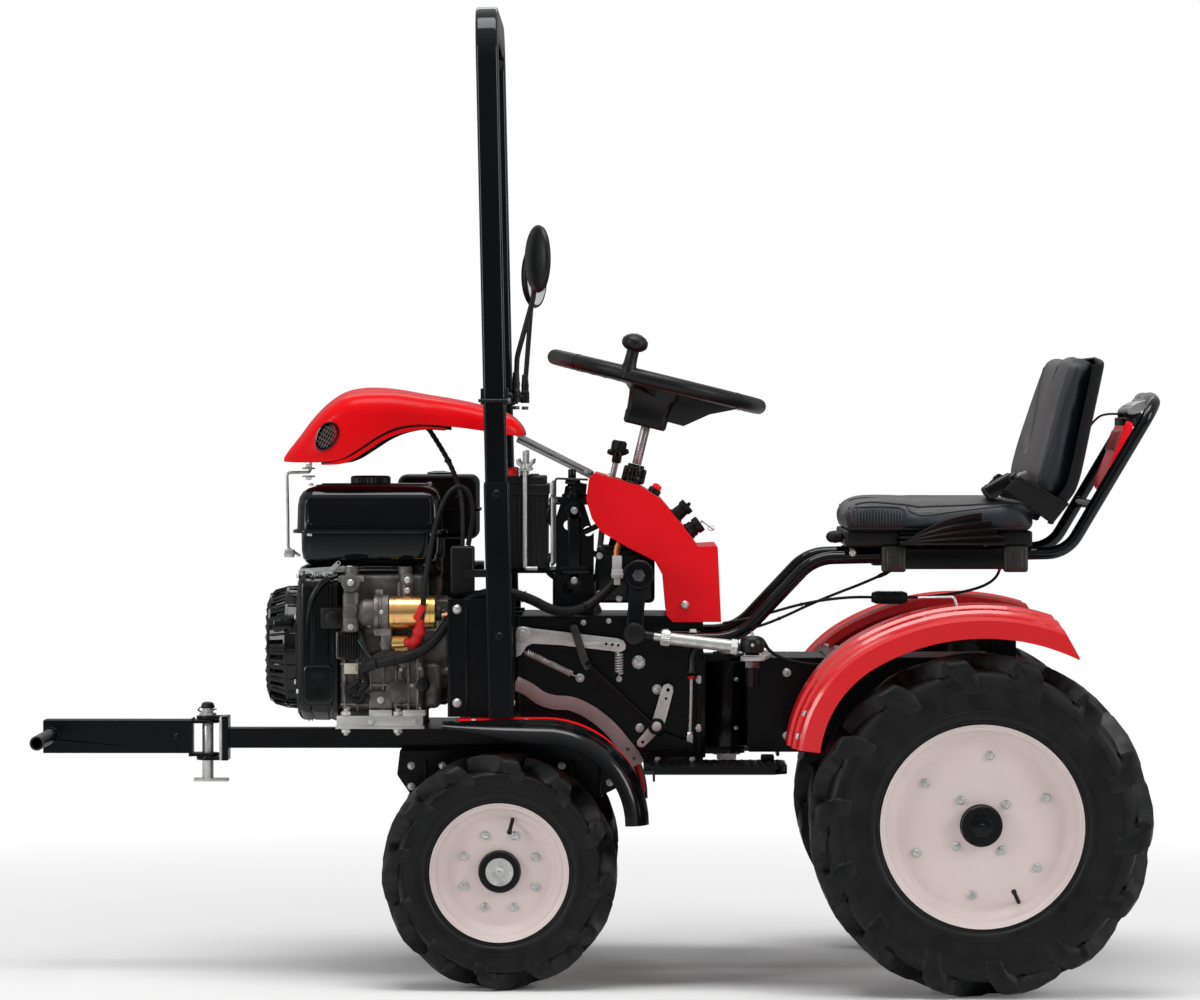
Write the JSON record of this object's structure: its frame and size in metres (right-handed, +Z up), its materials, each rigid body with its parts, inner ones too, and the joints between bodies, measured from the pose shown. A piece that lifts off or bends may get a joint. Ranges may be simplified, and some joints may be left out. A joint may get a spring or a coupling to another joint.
{
  "type": "mini tractor",
  "caption": "Articulated four-wheel mini tractor with an open front engine, roll hoop, driver's seat over the rear half and a front bar for an implement.",
  "frame": {"origin": "on the ground under the middle of the bounding box", "axes": "+X to the tractor's rear, +Y to its right side, +Z up"},
  "size_m": [1.951, 0.92, 1.68],
  "materials": {
    "painted_black": "gloss black paint",
    "painted_red": "gloss red paint",
    "painted_white": "off-white paint",
    "red_plastic": "gloss red moulding",
    "black_plastic": "gloss black moulding",
    "matt_black": "matt black moulding",
    "cast_aluminium": "as cast",
    "zinc_steel": "zinc plated",
    "tyre_rubber": "matt",
    "soft_rubber": "satin",
    "seat_vinyl": "grained vinyl",
    "lamp_red": "clear red lens",
    "gold_zinc": "yellow passivated"
  },
  "bodies": {
    "front_half": {"front_frame": "painted_black", "transmission": "painted_black", "front_axle": "painted_black", "engine_block": "cast_aluminium", "fan_housing": "black_plastic", "recoil_cover": "black_plastic", "fuel_tank": "painted_black", "fuel_cap": "matt_black", "starter_motor": "gold_zinc", "muffler": "painted_black", "air_filter": "black_plastic", "battery": "matt_black", "relay_box": "matt_black", "column_bracket": "painted_black", "hood": "red_plastic", "hood_lamps": "matt_black", "hood_supports": "zinc_steel", "roll_hoop": "painted_black", "mirror_left": "matt_black", "mirror_right": "matt_black", "dash_panel": "painted_red", "driver_controls": "matt_black", "steering_column": "painted_black", "control_linkage": "zinc_steel", "front_fender_left": "painted_red", "front_fender_right": "painted_red", "fender_flares": "soft_rubber", "footrests": "painted_black", "seat_frame": "painted_black", "seat_base": "painted_black", "seat_bellows": "soft_rubber", "seat_cushion": "seat_vinyl", "seat_back": "seat_vinyl", "tail_lamp": "lamp_red", "front_drawbar": "painted_black", "wiring_conduit": "soft_rubber", "hood_wire": "soft_rubber", "starter_cable": "soft_rubber", "seat_cable": "soft_rubber", "adjuster_cable": "soft_rubber", "tail_lamp_wire": "soft_rubber"},
    "rear_half": {"rear_frame": "painted_black", "rear_axle": "painted_black", "rear_fender_left": "painted_red", "rear_fender_right": "painted_red", "fender_supports": "painted_black", "rear_brake_cable": "soft_rubber"},
    "steering_wheel": {"steering_wheel": "matt_black"},
    "pitman_arm": {"pitman_arm": "painted_black"},
    "steering_link": {"steering_link": "zinc_steel"},
    "front_bar": {"front_bar": "painted_black", "hitch_pin": "zinc_steel"},
    "front_wheel_left": {"front_tyre_left": "tyre_rubber", "front_rim_left": "painted_white"},
    "front_wheel_right": {"front_tyre_right": "tyre_rubber", "front_rim_right": "painted_white"},
    "rear_wheel_left": {"rear_tyre_left": "tyre_rubber", "rear_rim_left": "painted_white"},
    "rear_wheel_right": {"rear_tyre_right": "tyre_rubber", "rear_rim_right": "painted_white"}
  },
  "joints": [
    {"name": "articulation", "type": "hinge", "parent": "front_half", "child": "rear_half", "pos_m": [0.227, 0, 0.4715], "axis": [0, 0, 1], "range_deg": [-20, 20]},
    {"name": "steering_wheel_turn", "type": "hinge", "parent": "front_half", "child": "steering_wheel", "pos_m": [0.104, 0, 1.037], "axis": [0.2368, 0, 0.9715], "range_deg": [-441, 441]},
    {"name": "pitman_swing", "type": "hinge", "parent": "front_half", "child": "pitman_arm", "pos_m": [0.072, -0.205, 0.703], "axis": [0, -1, 0], "range_deg": [-44, 44]},
    {"name": "link_swing", "type": "hinge", "parent": "pitman_arm", "child": "steering_link", "pos_m": [0.064, -0.205, 0.602], "axis": [0, 1, 0], "range_deg": [-44, 44]},
    {"name": "front_bar_swing", "type": "hinge", "parent": "front_half", "child": "front_bar", "pos_m": [-0.687, 0, 0.41], "axis": [0, 0, 1], "range_deg": [-35, 35]},
    {"name": "front_wheel_left_spin", "type": "hinge", "parent": "front_half", "child": "front_wheel_left", "pos_m": [-0.165, -0.287, 0.201], "axis": [0, 1, 0], "continuous": true},
    {"name": "front_wheel_right_spin", "type": "hinge", "parent": "front_half", "child": "front_wheel_right", "pos_m": [-0.165, 0.287, 0.201], "axis": [0, 1, 0], "continuous": true},
    {"name": "rear_wheel_left_spin", "type": "hinge", "parent": "rear_half", "child": "rear_wheel_left", "pos_m": [0.647, -0.387, 0.289], "axis": [0, 1, 0], "continuous": true},
    {"name": "rear_wheel_right_spin", "type": "hinge", "parent": "rear_half", "child": "rear_wheel_right", "pos_m": [0.647, 0.387, 0.289], "axis": [0, 1, 0], "continuous": true}
  ],
  "couplings": [
    {"joint": "steering_wheel_turn", "follows": "articulation", "ratio": -22},
    {"joint": "pitman_swing", "follows": "articulation", "ratio": 2.17},
    {"joint": "link_swing", "follows": "articulation", "ratio": 2.17}
  ]
}
